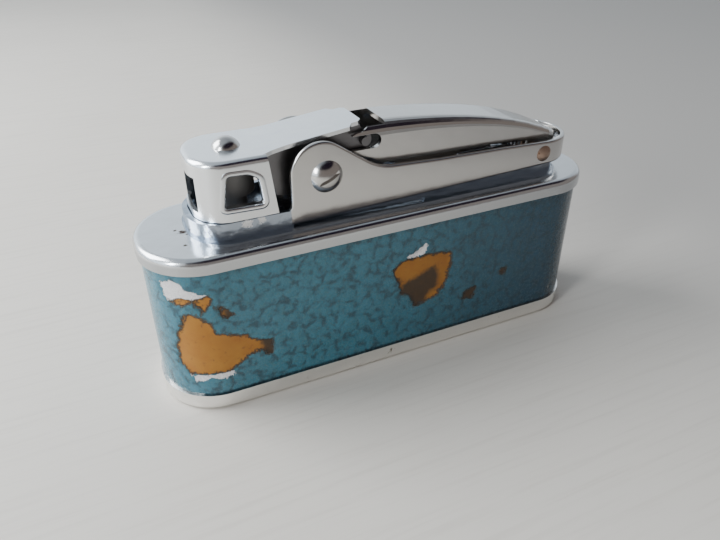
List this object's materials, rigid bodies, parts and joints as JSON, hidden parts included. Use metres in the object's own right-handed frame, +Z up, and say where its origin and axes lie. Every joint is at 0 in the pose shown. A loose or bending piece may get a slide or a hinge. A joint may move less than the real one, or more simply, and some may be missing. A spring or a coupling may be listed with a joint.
{
  "type": "flat petrol pocket lighter",
  "caption": "Flat pocket petrol lighter in chipped blue enamel and chrome; pressing the thumb lever lifts the windguard off the wick and turns the flint wheel.",
  "frame": {"origin": "centre of the flat underside of the base", "axes": "+X along the length from the wick end towards the thumb lever's pivot, +Y across the thickness away from the axle screw's head, +Z up"},
  "size_m": [0.06, 0.0156, 0.0316],
  "materials": {
    "chrome": "polished nickel-chrome plating with light pitting",
    "enamel": "teal-blue hammertone enamel, glossy, chipped to the brass",
    "brass": "bare brass, dull",
    "steel": "plain steel, oiled and darkened",
    "pin_steel": "steel pin heads, browned",
    "hard_steel": "hardened file steel, dark",
    "spring_steel": "drawn spring wire",
    "flint": "dark grey ferrocerium, matt",
    "wick": "braided cotton wick, charred at the tip",
    "cotton": "loose white cotton wool",
    "felt": "pressed wool felt",
    "washer": "red-brown fibre sealing washer"
  },
  "bodies": {
    "case": {"fuel_tank": "brass", "enamel_sleeve": "enamel", "deck_cap": "chrome", "base_cap": "chrome", "plinth": "chrome", "frame": "chrome", "frame_rivet_1": "chrome", "frame_rivet_2": "chrome", "axle_screw": "chrome", "axle_nut": "chrome", "axle_spacer": "steel", "lever_pin": "pin_steel", "wick_tube": "brass", "wick": "wick", "cotton_packing": "cotton", "felt_pad": "felt", "flint_tube": "brass", "filler_bush": "brass", "lever_spring": "spring_steel", "arm_spring": "spring_steel", "flint_spring": "spring_steel"},
    "lever": {"thumb_lever": "chrome"},
    "arm": {"windguard": "chrome", "arm_bracket": "chrome", "snuffer_cup": "steel", "guard_rivet": "chrome", "drive_pin": "steel", "pawl_pin": "steel", "pawl_spring": "spring_steel"},
    "pawl": {"pawl": "hard_steel"},
    "wheel": {"spark_wheel": "hard_steel", "ratchet_wheel": "hard_steel"},
    "flint_feed": {"flint": "flint", "flint_plunger": "brass"},
    "flint_seal": {"flint_washer": "washer"},
    "flint_screw": {"flint_screw": "brass"},
    "filler_seal": {"filler_washer": "washer"},
    "filler_screw": {"filler_screw": "brass"}
  },
  "joints": [
    {"name": "lever_press", "type": "hinge", "parent": "case", "child": "lever", "pos_m": [0.0217, 0, 0.0241], "axis": [0, -1, 0], "range_deg": [0, 11], "stiffness_Nm_per_rad": 0.05, "springref_deg": -28.65, "deforming": ["lever_spring"]},
    {"name": "arm_lift", "type": "hinge", "parent": "case", "child": "arm", "pos_m": [-0.0087, 0, 0.0266], "axis": [0, 1, 0], "range_deg": [0, 47.3], "stiffness_Nm_per_rad": 0.004, "springref_deg": -34.38, "deforming": ["arm_spring"]},
    {"name": "wheel_turn", "type": "hinge", "parent": "case", "child": "wheel", "pos_m": [-0.0087, 0, 0.0266], "axis": [0, 1, 0], "range_deg": [0, 47.3]},
    {"name": "pawl_lift", "type": "hinge", "parent": "arm", "child": "pawl", "pos_m": [-0.0123, 0, 0.0285], "axis": [0, -1, 0], "range_deg": [0, 14], "stiffness_Nm_per_rad": 0.0005, "springref_deg": -17.19, "deforming": ["pawl_spring"]},
    {"name": "flint_slide", "type": "slide", "parent": "case", "child": "flint_feed", "axis": [0, 0, -1], "range_m": [0, 0.0015], "stiffness_N_per_m": 150, "springref_m": -0.01, "deforming": ["flint_spring"]},
    {"name": "flint_screw_travel", "type": "slide", "parent": "case", "child": "flint_seal", "axis": [0, 0, -1], "range_m": [0, 0.0035]},
    {"name": "flint_screw_turn", "type": "hinge", "parent": "flint_seal", "child": "flint_screw", "pos_m": [-0.0087, 0, 0.001], "axis": [0, 0, -1], "range_deg": [0, 2520]},
    {"name": "filler_travel", "type": "slide", "parent": "case", "child": "filler_seal", "axis": [0, 0, -1], "range_m": [0, 0.004]},
    {"name": "filler_turn", "type": "hinge", "parent": "filler_seal", "child": "filler_screw", "pos_m": [0.014, 0, 0.001], "axis": [0, 0, -1], "range_deg": [0, 2880]}
  ],
  "couplings": [
    {"joint": "arm_lift", "follows": "lever_press", "ratio": 4.3},
    {"joint": "wheel_turn", "follows": "lever_press", "ratio": 4.3},
    {"joint": "flint_screw_turn", "follows": "flint_screw_travel", "rad_per_m": 12566},
    {"joint": "filler_turn", "follows": "filler_travel", "rad_per_m": 12566}
  ]
}
